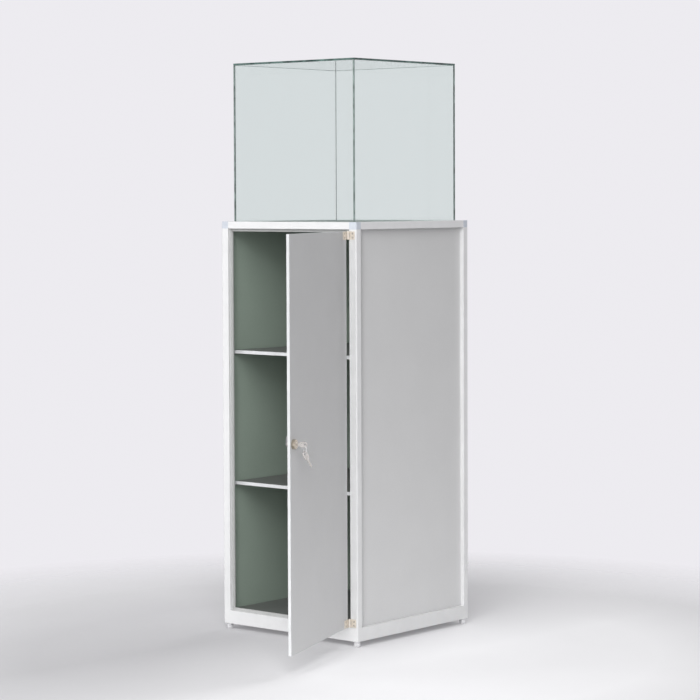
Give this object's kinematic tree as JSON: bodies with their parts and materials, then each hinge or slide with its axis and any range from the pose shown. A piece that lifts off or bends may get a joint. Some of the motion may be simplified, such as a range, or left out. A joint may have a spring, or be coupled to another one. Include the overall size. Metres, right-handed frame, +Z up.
{
  "type": "pedestal display case",
  "caption": "Aluminium-framed pedestal cabinet with grey panels, a lockable hinged door, shelves, round feet and a clear glass hood on top.",
  "frame": {"origin": "on the floor, at the centre of the square that the four feet make", "axes": "+Z up, -Y out of the front where the door opening is, +X towards the hinge side"},
  "size_m": [0.6645, 0.9247, 1.615],
  "materials": {
    "frame_aluminium": "satin natural anodised",
    "corner_cast": "blasted casting, slightly bluer",
    "panel_laminate": "matt pale grey laminate",
    "door_laminate": "matt pale grey laminate on board",
    "deck_board": "matt pale grey laminate on board",
    "shelf_board": "matt dark grey laminate on board",
    "pale_edging": "satin pale edge band",
    "clear_glass": "clear float glass, polished green edges",
    "foot_chrome": "bright chrome",
    "hinge_metal": "warm nickel plate",
    "zinc_steel": "zinc plate",
    "lock_metal": "warm nickel plate, polished",
    "key_metal": "nickel plate, worn"
  },
  "bodies": {
    "frame": {"post_front_left": "frame_aluminium", "post_front_right": "frame_aluminium", "post_back_left": "frame_aluminium", "post_back_right": "frame_aluminium", "corner_block_front_left": "corner_cast", "corner_block_front_right": "corner_cast", "corner_block_back_left": "corner_cast", "corner_block_back_right": "corner_cast", "top_rail_front": "frame_aluminium", "top_rail_back": "frame_aluminium", "top_rail_left": "frame_aluminium", "top_rail_right": "frame_aluminium", "plinth_rail_front": "frame_aluminium", "plinth_rail_back": "frame_aluminium", "plinth_rail_left": "frame_aluminium", "plinth_rail_right": "frame_aluminium", "plinth_cleats": "zinc_steel", "side_panel_left": "panel_laminate", "side_panel_right": "panel_laminate", "back_panel": "panel_laminate", "deck_panel": "deck_board", "floor_panel": "shelf_board", "door_stop_left": "panel_laminate", "door_stop_right": "panel_laminate", "door_stop_top": "panel_laminate", "door_stop_bottom": "panel_laminate", "shelf_upper": "shelf_board", "shelf_lower": "shelf_board", "shelf_upper_edge": "pale_edging", "shelf_lower_edge": "pale_edging", "shelf_clips": "zinc_steel", "shelf_clip_screws": "zinc_steel", "hinge_top_frame_leaf": "hinge_metal", "hinge_bottom_frame_leaf": "hinge_metal", "hinge_pins": "hinge_metal", "hinge_screws_frame": "zinc_steel"},
    "door": {"door_panel": "door_laminate", "door_side_edging": "pale_edging", "door_end_edging": "pale_edging", "hinge_top_door_leaf": "hinge_metal", "hinge_bottom_door_leaf": "hinge_metal", "hinge_screws_door": "zinc_steel", "lock_body": "lock_metal", "lock_nut": "zinc_steel"},
    "lock": {"lock_plug": "lock_metal", "lock_cam": "zinc_steel", "lock_cam_screw": "zinc_steel"},
    "key": {"key": "key_metal"},
    "key_ring": {"key_ring": "key_metal"},
    "spare_key": {"spare_key": "key_metal"},
    "hood": {"hood_front_pane": "clear_glass", "hood_back_pane": "clear_glass", "hood_left_pane": "clear_glass", "hood_right_pane": "clear_glass", "hood_top_pane": "clear_glass"},
    "foot_front_left": {"foot_front_left": "foot_chrome"},
    "foot_front_right": {"foot_front_right": "foot_chrome"},
    "foot_back_left": {"foot_back_left": "foot_chrome"},
    "foot_back_right": {"foot_back_right": "foot_chrome"}
  },
  "joints": [
    {"name": "door_hinge", "type": "hinge", "parent": "frame", "child": "door", "pos_m": [0.224, -0.254, 0.6015], "axis": [0, 0, 1], "range_deg": [-111, 69]},
    {"name": "lock_turn", "type": "hinge", "parent": "door", "child": "lock", "pos_m": [0.37293, -0.65314, 0.6015], "axis": [0.9336, 0.3584, 0], "range_deg": [0, 90]},
    {"name": "key_pull", "type": "slide", "parent": "lock", "child": "key", "axis": [0.9336, 0.3584, 0], "range_m": [0, 0.03]},
    {"name": "ring_swing", "type": "hinge", "parent": "key", "child": "key_ring", "pos_m": [0.40374, -0.64131, 0.6001], "axis": [-0.3584, 0.9336, 0], "range_deg": [-60, 15]},
    {"name": "spare_key_swing", "type": "hinge", "parent": "key_ring", "child": "spare_key", "pos_m": [0.40374, -0.64131, 0.5791], "axis": [-0.8746, 0.4848, 0], "range_deg": [-40, 40]},
    {"name": "hood_lift", "type": "slide", "parent": "frame", "child": "hood", "axis": [0, 0, 1], "range_m": [0, 0.5]},
    {"name": "foot_front_left_screw", "type": "slide", "parent": "frame", "child": "foot_front_left", "axis": [0, 0, -1], "range_m": [0, 0.01]},
    {"name": "foot_front_right_screw", "type": "slide", "parent": "frame", "child": "foot_front_right", "axis": [0, 0, -1], "range_m": [0, 0.01]},
    {"name": "foot_back_left_screw", "type": "slide", "parent": "frame", "child": "foot_back_left", "axis": [0, 0, -1], "range_m": [0, 0.01]},
    {"name": "foot_back_right_screw", "type": "slide", "parent": "frame", "child": "foot_back_right", "axis": [0, 0, -1], "range_m": [0, 0.01]}
  ]
}
